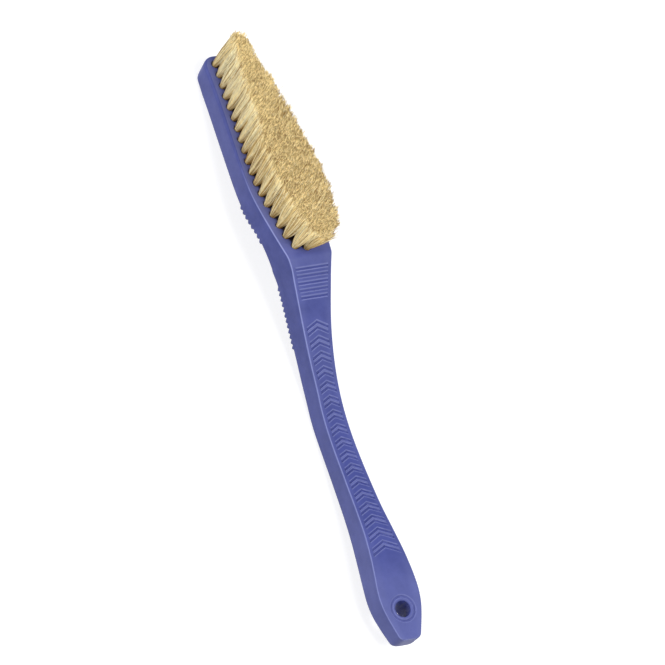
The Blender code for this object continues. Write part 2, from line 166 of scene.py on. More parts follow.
# A hair is a three-sided strand with a ring of points at each of these heights
HAIR_LEVELS = (-0.0006, 0.0006, 0.0018, 0.0040, 0.0075, 0.0120, 0.0160, BRISTLE_HEIGHT)
HAIR_SIDES = 3
HAIR_THICKNESS_RANGE = (0.8, 1.15)
HAIR_TAPER = 0.2
# Tones from 0, dark, to 1, pale: of the bunches, and how far tufts and hairs depart from them
BUNCH_TONES = (0.4, 0.6, 0.8)
BUNCH_TONE_ODDS = (0.25, 0.35, 0.4)
TIP_TONE = 0.25
TIP_TONE_START = 0.55
TIP_TONE_RUN = 0.4
TUFT_TONE = 0.06
HAIR_TONE = 0.16
DARK_HAIR_ODDS = 0.2
DARK_HAIR_TONE = 0.2
PALE_HAIR_FROM = 0.7
# Opening of a tuft from its pinched root: in the rows and lanes, outwards, and at the field's ends
PINCH_SHARE = 0.8
ROOT_JITTER = 0.00004
ROW_OPENING = 1.95
LANE_OPENING = 2.3
NEAR_OUTWARD_OPENING = 0.15
FAR_OUTWARD_OPENING = 0.4
TIP_OPENING = 1.0
NECK_WIDENING = 0.25
NECK_OPENING = 1.4
FAR_NECK_OPENING = 0.6
OPENING_HEIGHT = 0.0052
SIDE_FLARE_SHARE = 0.35
LEAN_POWER = 1.15
BUNCH_DRAW = 0.3
DRAW_TURN = 2.7
# Random turns in radians: any turn of a tuft, and of a hair, whose three sides are alike
TUFT_TURN = 6.28
HAIR_TURN = 2.1
# Sideways bends, curls and sway of the hairs, and the part of them that curl more
TUFT_BEND = 0.00032
BUNCH_BEND = 0.00026
HAIR_BEND = 0.00018
HAIR_CURL = 0.00034
CURLY_ODDS = 0.08
CURLY_TIMES = 2.2
CURL_POWER = 5
HAIR_SWAY = 0.00014
SWAY_TURN = 3.1
TIP_BULGE = 0.0002
# Unevenness of the mown face, its pits and short hairs, and its wear at the tip
TUFT_UNEVEN = 0.00028
BUNCH_UNEVEN = 0.00026
HAIR_UNEVEN = 0.00022
PIT_BELOW = 0.00042
PIT_DEPTH = 0.0008
SHORT_ODDS = 0.25
SHORT_BY = 0.0004
TIP_ROUNDING = 0.0020
CORNER_WEAR = 0.0020
CORNER_WEAR_START = 0.9
# Shade in a tuft: where it starts, how fast it grows inwards and fades upwards, and in the gaps
SHADE_START = 0.0002
SHADE_JITTER = 0.00014
SHADE_GROWTH = 0.0004
SHADE_AT_ROOT = 0.95
SHADE_FALL = 1.1
SHADE_FALL_POWER = 0.8
NECK_GAP_SHADE = 0.6
TIP_GAP_SHADE = 0.3
GAP_SHADE_FALL = 1.6
# How far a hair faces up and outwards with the face of the field that it stands in
ROOT_RISE = 0.6
RISE_GAIN = 0.5
TOP_RISE = 1.15
OUTWARD_FACING = 0.9

# The stage: reach of the floor, lights with their width, depth and place, and the camera
FLOOR_REACH = 6.0
LIGHTS = (
    ("top_light", "key_power", 0.8, 0.8, (0.45, 0.25, 1.42)),
    ("side_light", "fill_power", 1.5, 0.75, (-0.55, -1.15, 0.66)))
CAMERA_PLACE = (1.26937, -2.388142, 4.228401)
CAMERA_TURN = (22.9954, -23.9978, 71.7414)
SENSOR_WIDTH = 36.0
FARTHEST_SEEN = 50.0

# Sizes that follow from those above
HEAD_RUN = HEAD_LENGTH * math.cos(HEAD_SLOPE)
HEAD_FLAT_START = HEAD_FLAT_FROM_TIP - HEAD_RUN
HANG_FLAT_START = HANDLE_LENGTH - HANG_FLAT_LENGTH
HANG_HOLE_X = HANDLE_LENGTH - HANG_HOLE_FROM_BUTT
CHEVRON_ROW = HANDLE_LENGTH - CHEVRON_START - LAST_CHEVRON_FROM_BUTT
CHEVRON_PITCH = CHEVRON_ROW / (CHEVRON_COUNT - 1)
TUFT_PITCH = (HEAD_LENGTH - FIRST_TUFT_FROM_TIP - LAST_TUFT_FROM_CREASE) / (TUFTS_IN_ROW - 1)
CREASE_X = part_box("handle")[1].x - HANDLE_LENGTH
TABLE_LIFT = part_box("handle")[1].z - CREASE_HEIGHT


def srgb(code):
    """Linear colour with alpha from an sRGB hex code."""
    parts = [int(code[index:index + 2], 16) / 255 for index in (0, 2, 4)]
    return tuple(part / 12.92 if part <= 0.04045 else ((part + 0.055) / 1.055) ** 2.4
                 for part in parts) + (1.0,)


class HandleSettings(bpy.types.PropertyGroup):
    """Sizes and colours of the moulded handle."""

    plastic: FloatVectorProperty(
        name="Plastic colour", description="Colour of the moulded handle",
        default=srgb("4C5498"), size=4, subtype="COLOR", min=0, max=1)
    plastic_shade: FloatVectorProperty(
        name="Plastic shade", description="Slightly deeper colour that clouds the handle",
        default=srgb("41498A"), size=4, subtype="COLOR", min=0, max=1)
    # Painted highlight: the paler colour painted on the edges, the groove lips and the lit
    # stretches of the faces
    plastic_highlight: FloatVectorProperty(
        name="Rubbed edge", description="Paler colour of the rubbed edges and groove lips",
        default=srgb("A6ADE4"), size=4, subtype="COLOR", min=0, max=1)
    # Painted shade: dark brown painted on the face between the tufts, where the hairs shade it
    painted_shade: FloatVectorProperty(
        name="Dust", description="Colour of the dust between the tufts",
        default=srgb("33281A"), size=4, subtype="COLOR", min=0, max=1)
    front_edge: FloatProperty(
        name="Front edge radius", description="Rounding between the front and the sides",
        default=0.00055, min=0.0002, max=0.002, subtype="DISTANCE", unit="LENGTH")
    back_edge: FloatProperty(
        name="Back edge radius", description="Rounding between the back and the sides",
        default=0.0016, min=0.0002, max=0.003, subtype="DISTANCE", unit="LENGTH")
    groove_width: FloatProperty(
        name="Groove width", description="Width of the pressed grooves at their mouth",
        default=0.0007, min=0.0003, max=0.001, subtype="DISTANCE", unit="LENGTH")
    groove_depth: FloatProperty(
        name="Groove depth", description="Depth of the pressed grooves",
        default=0.00055, min=0.0001, max=0.001, subtype="DISTANCE", unit="LENGTH")


class BristleSettings(bpy.types.PropertyGroup):
    """Sizes and colours of the hairs."""

    hairs: IntProperty(
        name="Hairs in a tuft", description="Number of hairs in each tuft",
        default=340, min=BUNCHES, max=500)
    hair_radius: FloatProperty(
        name="Hair radius", description="Radius of a hair at its root",
        default=0.0001, min=0.00003, max=0.0003, subtype="DISTANCE", unit="LENGTH")
    pale: FloatVectorProperty(
        name="Pale hair", description="Colour of the palest hairs",
        default=srgb("FFF6CE"), size=4, subtype="COLOR", min=0, max=1)
    straw: FloatVectorProperty(
        name="Straw hair", description="Colour of most hairs",
        default=srgb("FBE09A"), size=4, subtype="COLOR", min=0, max=1)
    ochre: FloatVectorProperty(
        name="Ochre hair", description="Colour of the darkest hairs",
        default=srgb("8E622A"), size=4, subtype="COLOR", min=0, max=1)
    shaded: FloatVectorProperty(
        name="Shaded hair", description="Colour of hairs deep inside a tuft",
        default=srgb("94703A"), size=4, subtype="COLOR", min=0, max=1)
    mown: FloatVectorProperty(
        name="Mown end", description="Colour of most cut ends",
        default=srgb("9A8759"), size=4, subtype="COLOR", min=0, max=1)
    mown_dark: FloatVectorProperty(
        name="Dark mown end", description="Colour of the darkest cut ends",
        default=srgb("87623A"), size=4, subtype="COLOR", min=0, max=1)


class StageSettings(bpy.types.PropertyGroup):
    """Floor, lights and camera."""

    floor: FloatVectorProperty(
        name="Floor colour", description="Colour of the floor",
        default=srgb("C4C4C4"), size=4, subtype="COLOR", min=0, max=1)
    key_power: FloatProperty(
        name="Key light", description="Power of the soft light over the brush",
        default=15.5, min=0, max=100, unit="POWER")
    fill_power: FloatProperty(
        name="Fill light", description="Power of the soft light at the brush's near side",
        default=13.0, min=0, max=100, unit="POWER")
    sky: FloatProperty(
        name="Room light", description="Strength of the even light from all sides",
        default=0.26, min=0, max=5)
    lens: FloatProperty(
        name="Lens", description="Focal length of the camera",
        default=782.26, min=50, max=2000, unit="CAMERA")


def curve(points, places):
    """Values at places on the smooth curve through (place, value) points."""
    places = np.asarray(places, float)
    at, values = np.array(points).T
    slopes = np.empty(len(at))
    slopes[1:-1] = (values[2:] - values[:-2]) / (at[2:] - at[:-2])
    slopes[0] = (values[1] - values[0]) / (at[1] - at[0])
    slopes[-1] = (values[-1] - values[-2]) / (at[-1] - at[-2])
    index = np.clip(np.searchsorted(at, places, side="left") - 1, 0, len(at) - 2)
    span = at[index + 1] - at[index]
    t = np.clip((places - at[index]) / span, 0, 1)
    rise = t * t * (3 - 2 * t)
    return (values[index] * (1 - rise) + values[index + 1] * rise
            + span * slopes[index] * t * (1 - t) ** 2
            - span * slopes[index + 1] * t * t * (1 - t))


def ease(t):
    """Smooth step from 0 to 1."""
    t = np.clip(t, 0, 1)
    return t * t * (3 - 2 * t)


def straight(function, x, start, stop):
    """A function's values, held straight from start to stop."""
    share = (x - start) / (stop - start)
    line = function(np.array(start)) * (1 - share) + function(np.array(stop)) * share
    return np.where((x > start) & (x < stop), line, function(x))


def half_width(x):
    """Half of the body's width."""
    head = HEAD_HALF_WIDTH * curve(HEAD_WIDTH_SHARES, np.minimum(x, 0) / HEAD_RUN)
    grip = HANDLE_HALF_WIDTH * curve(HANDLE_WIDTH_SHARES, np.maximum(x, 0) / HANDLE_LENGTH)
    return np.where(x < 0, head, grip)


def front_curve(x):
    """Height of the front, with the crease at the neck slightly rounded."""
    head = CREASE_HEIGHT + x * math.tan(HEAD_SLOPE)
    grip = CREASE_HEIGHT * curve(FRONT_HEIGHT_SHARES, np.maximum(x, 0) / HANDLE_LENGTH)
    place, height = FRONT_HEIGHT_SHARES[1]
    bend = math.tan(HEAD_SLOPE) + CREASE_HEIGHT * (1 - height) / (place * HANDLE_LENGTH)
    near = np.clip(1 - np.abs(x) / CREASE_ROUNDING, 0, 1)
    return np.where(x < 0, head, grip) - bend * CREASE_ROUNDING / 4 * near ** 2


def front_height(x):
    """Height of the front, flat round the hanging hole."""
    return straight(front_curve, x, HANG_FLAT_START, HANDLE_LENGTH)


def back_curve(x):
    """Height of the curved back."""
    place = np.where(x < 0, x / HEAD_RUN, x / HANDLE_LENGTH)
    return CREASE_HEIGHT * curve(BACK_HEIGHT_SHARES, place)


def back_height(x):
    """Height of the back, flat under the head, with its finger ribs."""
    ribs = np.zeros_like(x)
    for start, pitch, count in (
            (HEAD_RIBS_START, HEAD_RIB_PITCH, HEAD_RIB_COUNT),
            (HANDLE_RIBS_START, HANDLE_RIB_PITCH, HANDLE_RIB_COUNT)):
        turn = (x - start) / pitch
        wave = 0.5 + 0.5 * np.cos(2 * math.pi * turn)
        ribs += np.where((turn >= -0.5) & (turn <= count - 0.5), wave, 0)
    return straight(back_curve, x, HEAD_FLAT_START, HEAD_FLAT_END) - RIB_HEIGHT * ribs


def section_lean(x):
    """How far a section leans towards the butt at the back."""
    return HEAD_LEAN * (1 - ease((x + NECK_LEAN_RUN) / (NECK_LEAN_RUN * 1.5)))


def corner_inset(distance, radius):
    """How far a rounded corner draws in at a distance from its end."""
    inner = np.clip(distance, 0, radius)
    return radius - np.sqrt(np.maximum(radius ** 2 - (radius - inner) ** 2, 0))


def row_half_width(along):
    """Distance of an outer tuft from the middle."""
    return HEAD_HALF_WIDTH * curve(ROW_SHARES, -along / HEAD_LENGTH)


def tuft_places():
    """Name, distance from the crease, distance from the middle and row side of each tuft."""
    first = HEAD_LENGTH - FIRST_TUFT_FROM_TIP
    places = []
    for row, side in (("left", -1), ("right", 1)):
        for index in range(TUFTS_IN_ROW):
            along = first - index * TUFT_PITCH
            across = side * float(row_half_width(along))
            places.append((f"tuft_{row}_{index + 1:02d}", along, across, side))
    count = 0
    for index in range(TUFTS_IN_ROW):
        along = first - (index + 1 / 2) * TUFT_PITCH
        if index == TUFTS_IN_ROW - 1:
            along = first - (index + 1 / 4) * TUFT_PITCH
        across = float(row_half_width(along))
        lanes = [0.0]
        if across < HEAD_HALF_WIDTH * ONE_LANE_SHARE and index < TUFTS_IN_ROW / 2:
            lanes = []
        if across >= HEAD_HALF_WIDTH * TWO_LANE_SHARE:
            lanes = [-across / 3, across / 3]
        for lane in lanes:
            count += 1
            places.append((f"tuft_inner_{count:02d}", along, lane, 0))
    return places


def groove_depths(x, y, settings):
    """Depth of the pressed grooves, and how much of their lips lies at points of the front."""
    half = settings.groove_width / 2
    soft = settings.groove_width / 5
    reach = half_width(x) - GROOVE_MARGIN
    ends = ease((reach - np.abs(y)) / soft + 0.5)

    def groove(distance, wider=0.0):
        return ease((half + wider + soft - np.abs(distance)) / (2 * soft))

    around = np.hypot(x - HANG_HOLE_X, y) - RING_RADIUS
    depth, lip = groove(around), groove(around, half)
    slant = math.cos(math.atan(CHEVRON_SLANT))
    for index in range(CHEVRON_COUNT):
        for shift in (0.0, CHEVRON_GAP):
            tip = CHEVRON_START + index * CHEVRON_PITCH + shift
            away = (x - tip - CHEVRON_SLANT * np.abs(y)) * slant
            depth = np.maximum(depth, groove(away) * ends)
            lip = np.maximum(lip, groove(away, half) * ends)
    for index in range(THUMB_GROOVE_COUNT):
        away = x - THUMB_GROOVE_START - index * THUMB_GROOVE_PITCH
        depth = np.maximum(depth, groove(away) * ends)
        lip = np.maximum(lip, groove(away, half) * ends)
    chamfer = np.clip(HANG_HOLE_RADIUS + half - np.hypot(x - HANG_HOLE_X, y), 0, half)
    return depth * settings.groove_depth + chamfer, np.clip(lip - depth, 0, 1)


def dimple_depths(x, y):
    """Depth of the mouths of the tuft holes at points of the head's face."""
    depth = np.zeros_like(x)
    soft = TUFT_HOLE_RADIUS / 10
    for _, along, across, _ in tuft_places():
        away = np.hypot((x + along * math.cos(HEAD_SLOPE)) / math.cos(HEAD_SLOPE), y - across)
        mouth = ease((TUFT_HOLE_RADIUS + soft - away) / (2 * soft))
        depth = np.maximum(depth, mouth * TUFT_HOLE_RADIUS / 2)
    return depth


def tuft_dust(x, y):
    """How far points of the head's face lie among the tufts, where their shade is painted dark
    brown.
    """
    along = -x / math.cos(HEAD_SLOPE)
    soft = TUFT_HOLE_RADIUS / 2
    first, last = HEAD_LENGTH - FIRST_TUFT_FROM_TIP, LAST_TUFT_FROM_CREASE
    among = ease((row_half_width(along) - np.abs(y)) / soft + 0.5)
    among = among * ease((first - along) / soft + 0.5) * ease((along - last) / soft + 1.5)
    return np.maximum(among, dimple_depths(x, y) * 2 / TUFT_HOLE_RADIUS) * (x < 0)


def row_places():
    """Places of the lines of points along the body, closer where there is more detail."""
    tip = HEAD_TIP_RADIUS * (1 - np.cos(np.linspace(0, math.pi / 2, END_LINES))) - HEAD_RUN
    butt = HANDLE_LENGTH - BUTT_HEEL_RADIUS * (1 - np.cos(np.linspace(math.pi / 2, 0, END_LINES)))
    # Where each stretch of the body ends, and the step between its lines
    stretches = (
        (HEAD_RIBS_START - HEAD_RIB_PITCH * 2, 0.00042), (0.0, 0.00026),
        (CHEVRON_START - CHEVRON_GAP, 0.00022), (butt[0], 0.00021))
    places = list(tip)
    for stop, step in stretches:
        count = math.ceil((stop - places[-1]) / step)
        places.extend(np.linspace(places[-1], stop, count + 1)[1:])
    return np.array(places + list(butt[1:]))


def section_loop():
    """Points round a section: share across, share of depth, and angle of the rounded edge."""
    front, side, back, edge = 54, 4, 14, 6
    # Number of points in each stretch, and those three values at both of its ends
    stretches = (
        (front, (-1, 0, -90), (1, 0, -90)), (edge, (1, 0, -90), (1, 0, 0)),
        (side, (1, 0, 0), (1, 1, 0)), (edge, (1, 1, 0), (1, 1, 90)),
        (back, (1, 1, 90), (-1, 1, 90)), (edge, (-1, 1, 90), (-1, 1, 180)),
        (side, (-1, 1, 180), (-1, 0, 180)), (edge, (-1, 0, 180), (-1, 0, 270)))
    points = [[first + (last - first) * (step / count) for first, last in zip(start, stop)]
              for count, start, stop in stretches for step in range(count)]
    across, deep, turn = np.array(points).T
    return across, deep, np.radians(turn)


def handle_points(settings):
    """Points of the handle's surface, one closed loop for each place, its painted highlight and
    its painted shade between the tufts.
    """
    across, deep, turn = section_loop()
    front, back = settings.front_edge, settings.back_edge
    radius = front + (back - front) * deep

    rows = row_places()[:, None]
    last_thumb = THUMB_GROOVE_START + THUMB_GROOVE_PITCH * (THUMB_GROOVE_COUNT - 1 / 2)
    last_chevron = HANDLE_LENGTH - LAST_CHEVRON_FROM_BUTT + CHEVRON_GAP + settings.groove_width
    slant = CHEVRON_SLANT * ease((rows - last_thumb) / (CHEVRON_START - CHEVRON_GAP - last_thumb))
    slant = slant * (1 - ease((rows - last_chevron) / (HANG_FLAT_START - last_chevron)))
    x = rows + slant * half_width(rows) * np.abs(across) * (1 - deep)

    # The front's edges are rounder on the head
    radius = radius + HEAD_SOFTNESS * (1 - deep) * ease(-rows / HEAD_RUN * 2 - 0.5)

    from_tip = (x + HEAD_RUN) / math.cos(HEAD_SLOPE)
    from_butt = HANDLE_LENGTH - x
    back_x = x + section_lean(x)
    front_z, back_z = front_height(x), back_height(back_x)
    run, drop = back_x - x, front_z - back_z
    length = np.hypot(run, drop)
    down_x, down_z = run / length, -drop / length
    front_cut = corner_inset(from_tip, front) + corner_inset(from_butt, front)
    back_cut = (corner_inset(from_tip, HEAD_HEEL_RADIUS)
                + corner_inset(from_butt, BUTT_HEEL_RADIUS))
    half = (half_width(x) - corner_inset(from_tip, HEAD_TIP_RADIUS)
            - corner_inset(from_butt, BUTT_CORNER_RADIUS))
    y = across * (half - radius) + radius * np.cos(turn)
    depth = (front_cut + radius + (length - front_cut - back_cut - 2 * radius) * deep
             + radius * np.sin(turn))
    on_front = (deep == 0) & (np.abs(turn + math.pi / 2) < 0.01)
    pressed, lips = groove_depths(x, y, settings)
    pressed = pressed + np.where(x < 0, dimple_depths(x, y), 0)
    depth = depth + np.where(on_front, pressed, 0)
    # Painted highlight along the edges and groove lips, and painted light on stretches of the
    # faces
    end_edges = np.sin(math.pi * np.clip(front_cut / front, 0, 1))
    side_edges = np.where(deep == 0, np.sin(2 * turn) ** 2, 0)
    highlight = np.maximum(np.where(on_front, np.maximum(end_edges, lips * LIP_HIGHLIGHT), 0), side_edges)
    place = x / HANDLE_LENGTH
    beside_edge = BESIDE_EDGE_LIGHT * ease((np.abs(across) - BESIDE_EDGE_START) / BESIDE_EDGE_RUN)
    painted_light = np.where(on_front, curve(FRONT_LIGHT_SHARES, place) + beside_edge,
                   curve(SIDE_LIGHT_SHARES, place))
    highlight = np.maximum(highlight * curve(EDGE_HIGHLIGHT_SHARES, place), painted_light)
    # Painted shade between the tufts and in the mouths of their holes
    painted_shade = np.where(on_front, tuft_dust(x, y), 0)
    on_back = (deep == 1) & (np.abs(turn - math.pi / 2) < 0.01)
    from_hole = np.hypot(back_x - HANG_HOLE_X, y)
    chamfer = np.clip(HANG_HOLE_RADIUS + HOLE_CHAMFER - from_hole, 0, HOLE_CHAMFER)
    depth = depth - np.where(on_back, chamfer, 0)
    z = front_z + down_z * depth + TABLE_LIFT
    return np.stack([x + down_x * depth + CREASE_X, y, z], axis=2), highlight, painted_shade


def set_values(mesh, values):
    """Give the mesh's points their named values, which its material reads."""
    for name, data in values.items():
        layer = mesh.attributes.new(name, "FLOAT", "POINT")
        layer.data.foreach_set("value", data.ravel().astype(np.float32))


def grid_mesh(name, points, highlight, painted_shade):
    """Closed mesh of a grid of loops with its painted highlight and painted shade, and a face over
    each end.
    """
    rows, columns, _ = points.shape
    index = np.arange(rows * columns).reshape(rows, columns)
    after = np.roll(index, -1, axis=1)
    quads = np.stack([index[:-1], index[1:], after[1:], after[:-1]], axis=2).reshape(-1, 4)
    faces = quads.tolist() + [index[0].tolist(), index[-1][::-1].tolist()]
    mesh = bpy.data.meshes.new(name)
    mesh.from_pydata(points.reshape(-1, 3).tolist(), [], faces)
    mesh.update()
    set_values(mesh, {"edge_wear": highlight, "tuft_dust": painted_shade})
    return mesh


def add_piece(name, mesh, material, nodes):
    """Object that stands for CAD nodes, rides on the brush and takes the given material."""
    piece = bpy.data.objects.new(name, mesh)
    bpy.context.scene.collection.objects.link(piece)
    mesh.materials.clear()
    mesh.materials.append(material)
    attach(piece, "root")
    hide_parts(*nodes)
    return piece


def add_node(tree, kind, inputs=None, **settings):
    """Node with its settings, and its inputs set to values or linked to other nodes."""
    made = tree.nodes.new(kind)
    for name, value in settings.items():
        setattr(made, name, value)
    for name, value in (inputs or {}).items():
        if isinstance(value, bpy.types.NodeSocket):
            tree.links.new(value, made.inputs[name])
        else:
            made.inputs[name].default_value = value
    return made


def fill_ramp(ramp, stops):
    """Set a colour ramp's (position, colour) stops."""
    elements = ramp.color_ramp.elements
    while len(elements) < len(stops):
        elements.new(0.5)
    for element, (position, colour) in zip(elements, stops):
        element.position = position
        element.color = colour[:]


def new_material(name):
    """Empty node material and its output node."""
    material = bpy.data.materials.new(name)
    material.use_nodes = True
    material.node_tree.nodes.clear()
    return material, add_node(material.node_tree, "ShaderNodeOutputMaterial")


def polypropylene(settings):
    """Injection moulded polypropylene, spark textured.

    The eye sees a soft satin glow along the edges, part of it a painted highlight, an even body
    colour that clouds very slightly where the melt cooled, and a grain too fine to make out.
    """
    material, output = new_material("moulded_polypropylene")
    tree = material.node_tree
    place = add_node(tree, "ShaderNodeTexCoord").outputs["Object"]
    # Clouds about 9 mm across, with finer mottling down to 1 mm
    clouds = add_node(tree, "ShaderNodeTexNoise", {
        "Vector": place, "Scale": 1 / 0.009, "Detail": 4.0, "Roughness": 0.7})
    cloud_share = add_node(tree, "ShaderNodeMapRange", {
        "Value": clouds.outputs["Fac"], "From Min": 0.35, "From Max": 0.65})
    # Grain of 0.12 mm in the real mould, drawn at 0.35 mm so that it shows
    grain = add_node(tree, "ShaderNodeTexNoise", {
        "Vector": place, "Scale": 1 / 0.00035, "Detail": 2.0, "Roughness": 0.6})
    colour = add_node(tree, "ShaderNodeMix", {
        "Factor": cloud_share.outputs["Result"], "A": settings.plastic_shade[:],
        "B": settings.plastic[:]}, data_type="RGBA")
    # Painted highlight along the edges and groove lips, and painted light on stretches of the
    # front and sides
    highlight = add_node(tree, "ShaderNodeAttribute", attribute_name="edge_wear").outputs["Fac"]
    highlit = add_node(tree, "ShaderNodeMath", {0: highlight, 1: 0.7}, operation="MULTIPLY")
    highlighted = add_node(tree, "ShaderNodeMix", {
        "Factor": highlit.outputs["Value"], "A": colour.outputs["Result"],
        "B": settings.plastic_highlight[:]}, data_type="RGBA")
    # Painted shade: the face between the tufts and the mouths of their holes is painted dark
    # brown, where the hairs shade it
    among = add_node(tree, "ShaderNodeAttribute", attribute_name="tuft_dust").outputs["Fac"]
    shade_share = add_node(tree, "ShaderNodeMath", {0: among, 1: 0.9}, operation="MULTIPLY")
    shaded_face = add_node(tree, "ShaderNodeMix", {
        "Factor": shade_share.outputs["Value"], "A": highlighted.outputs["Result"],
        "B": settings.painted_shade[:]}, data_type="RGBA")
    satin = add_node(tree, "ShaderNodeMapRange", {
        "Value": grain.outputs["Fac"], "From Min": 0.3, "From Max": 0.7,
        "To Min": 0.34, "To Max": 0.44})
    bump = add_node(tree, "ShaderNodeBump", {
        "Height": grain.outputs["Fac"], "Strength": 0.16, "Distance": 0.00006})
    shader = add_node(tree, "ShaderNodeBsdfPrincipled", {
        "Base Color": shaded_face.outputs["Result"], "Roughness": satin.outputs["Result"],
        "Normal": bump.outputs["Normal"], "IOR": 1.49, "Specular IOR Level": 0.15})
    tree.links.new(shader.outputs["BSDF"], output.inputs["Surface"])
    return material


def boar_bristle(settings):
    """Bleached boar bristle, mown.

    The eye sees pale, dry hairs of mixed straw and cream, a few of them ochre, that shade
    each other near the roots, and duller tan ends where they are cut.
    """
    material, output = new_material("bleached_boar_bristle")
    tree = material.node_tree
    tone = add_node(tree, "ShaderNodeAttribute", attribute_name="hair_tone").outputs["Fac"]
    along = add_node(tree, "ShaderNodeAttribute", attribute_name="hair_along").outputs["Fac"]
    ramp = add_node(tree, "ShaderNodeValToRGB", {"Fac": tone})
    fill_ramp(ramp, ((0.0, settings.ochre), (0.5, settings.straw), (0.95, settings.pale)))
    cut_ramp = add_node(tree, "ShaderNodeValToRGB", {"Fac": tone})
    fill_ramp(cut_ramp, ((0.0, settings.mown_dark), (0.66, settings.mown), (1.0, settings.straw)))
    ends = add_node(tree, "ShaderNodeMapRange", {
        "Value": along, "From Min": 0.88, "From Max": 1.0, "To Min": 0.0, "To Max": 0.9})
    cut = add_node(tree, "ShaderNodeMix", {
        "Factor": ends.outputs["Result"], "A": ramp.outputs["Color"],
        "B": cut_ramp.outputs["Color"]}, data_type="RGBA")
    # Shade between the hairs, and near their roots
    shaded = add_node(tree, "ShaderNodeAttribute", attribute_name="hair_shade").outputs["Fac"]
    foot = add_node(tree, "ShaderNodeMapRange", {
        "Value": along, "From Min": 0.0, "From Max": 0.25, "To Min": 0.25, "To Max": 0.0})
    dimmed = add_node(tree, "ShaderNodeMath", {
        0: shaded, 1: foot.outputs["Result"]}, operation="ADD", use_clamp=True)
    cut = add_node(tree, "ShaderNodeMix", {
        "Factor": dimmed.outputs["Value"], "A": cut.outputs["Result"],
        "B": settings.shaded[:]}, data_type="RGBA")
    # Mottling about 1.2 mm across, so that a hair changes along its length
    place = add_node(tree, "ShaderNodeTexCoord").outputs["Object"]
    mottling = add_node(tree, "ShaderNodeTexNoise", {
        "Vector": place, "Scale": 1 / 0.0012, "Detail": 2.0})
    shade = add_node(tree, "ShaderNodeMapRange", {
        "Value": mottling.outputs["Fac"], "From Min": 0.3, "From Max": 0.7,
        "To Min": 0.86, "To Max": 1.12})
    colour = add_node(tree, "ShaderNodeMix", {
        "Factor": 1.0, "A": cut.outputs["Result"], "B": shade.outputs["Result"]},
        data_type="RGBA", blend_type="MULTIPLY")
    rough = add_node(tree, "ShaderNodeMapRange", {
        "Value": tone, "To Min": 0.62, "To Max": 0.5})
    shader = add_node(tree, "ShaderNodeBsdfPrincipled", {
        "Base Color": colour.outputs["Result"], "Roughness": rough.outputs["Result"],
        "IOR": 1.45, "Specular IOR Level": 0.25})
    # A hair glows with the light behind it, and its shadow is thin
    glow = add_node(tree, "ShaderNodeBsdfTranslucent", {"Color": colour.outputs["Result"]})
    hair = add_node(tree, "ShaderNodeMixShader", {"Fac": 0.12})
    tree.links.new(shader.outputs["BSDF"], hair.inputs[1])
    tree.links.new(glow.outputs["BSDF"], hair.inputs[2])
    rays = add_node(tree, "ShaderNodeLightPath")
    passing = add_node(tree, "ShaderNodeMapRange", {
        "Value": rays.outputs["Is Shadow Ray"], "To Min": 0.0, "To Max": 0.95})
    clear = add_node(tree, "ShaderNodeBsdfTransparent")
    thin = add_node(tree, "ShaderNodeMixShader", {"Fac": passing.outputs["Result"]})
    tree.links.new(hair.outputs["Shader"], thin.inputs[1])
    tree.links.new(clear.outputs["BSDF"], thin.inputs[2])
    tree.links.new(thin.outputs["Shader"], output.inputs["Surface"])
    return material


def seen_rays(tree):
    """1 for rays from the camera, from a glossy surface or through glass, and otherwise 0."""
    rays = add_node(tree, "ShaderNodeLightPath")
    mirrored = add_node(tree, "ShaderNodeMath", {
        0: rays.outputs["Is Camera Ray"], 1: rays.outputs["Is Glossy Ray"]}, operation="MAXIMUM")
    return add_node(tree, "ShaderNodeMath", {
        0: mirrored.outputs["Value"], 1: rays.outputs["Is Transmission Ray"]},
        operation="MAXIMUM").outputs["Value"]


def paper_floor(settings):
    """Matt white paper sweep, which the camera sees as white with a faint shadow."""
    material, output = new_material("white_paper")
    tree = material.node_tree
    place = add_node(tree, "ShaderNodeTexCoord").outputs["Object"]
    fibre = add_node(tree, "ShaderNodeTexNoise", {
        "Vector": place, "Scale": 1 / 0.004, "Detail": 2.0})
    rough = add_node(tree, "ShaderNodeMapRange", {
        "Value": fibre.outputs["Fac"], "To Min": 0.85, "To Max": 0.95})
    paper = add_node(tree, "ShaderNodeBsdfPrincipled", {
        "Base Color": settings.floor[:], "Roughness": rough.outputs["Result"]})
    glow = add_node(tree, "ShaderNodeEmission", {"Color": (1, 1, 1, 1), "Strength": 0.7})
    bright = add_node(tree, "ShaderNodeAddShader")
    tree.links.new(paper.outputs["BSDF"], bright.inputs[0])
    tree.links.new(glow.outputs["Emission"], bright.inputs[1])
    seen = add_node(tree, "ShaderNodeMixShader", {"Fac": seen_rays(tree)})
    tree.links.new(paper.outputs["BSDF"], seen.inputs[1])
    tree.links.new(bright.outputs["Shader"], seen.inputs[2])
    tree.links.new(seen.outputs["Shader"], output.inputs["Surface"])
    return material


def bright_room(settings):
    """Even white room that the camera sees as plain white."""
    world = bpy.data.worlds.new("bright_room")
    world.use_nodes = True
    tree = world.node_tree
    tree.nodes.clear()
    output = add_node(tree, "ShaderNodeOutputWorld")
    strength = add_node(tree, "ShaderNodeMapRange", {
        "Value": seen_rays(tree), "To Min": settings.sky, "To Max": 1.0})
    light = add_node(tree, "ShaderNodeBackground", {
        "Color": (1, 1, 1, 1), "Strength": strength.outputs["Result"]})
    tree.links.new(light.outputs["Background"], output.inputs["Surface"])
    return world


def hair_tones(along, member, rng):
    """Tone of each hair: that of its bunch, with stray dark and pale hairs, paler at the tip."""
    count = len(member)
    tone = rng.choice(BUNCH_TONES, BUNCHES, p=BUNCH_TONE_ODDS)[member]
    tone += (TIP_TONE * ease((along / HEAD_LENGTH - TIP_TONE_START) / TIP_TONE_RUN)
             + rng.normal(0, TUFT_TONE))
    tone = np.clip(tone + rng.normal(0, HAIR_TONE, count), 0, 1)
    kind = rng.random(count)
    return np.where(kind < DARK_HAIR_ODDS, tone * DARK_HAIR_TONE,
                    np.where(kind > PALE_HAIR_FROM, 1.0, tone))


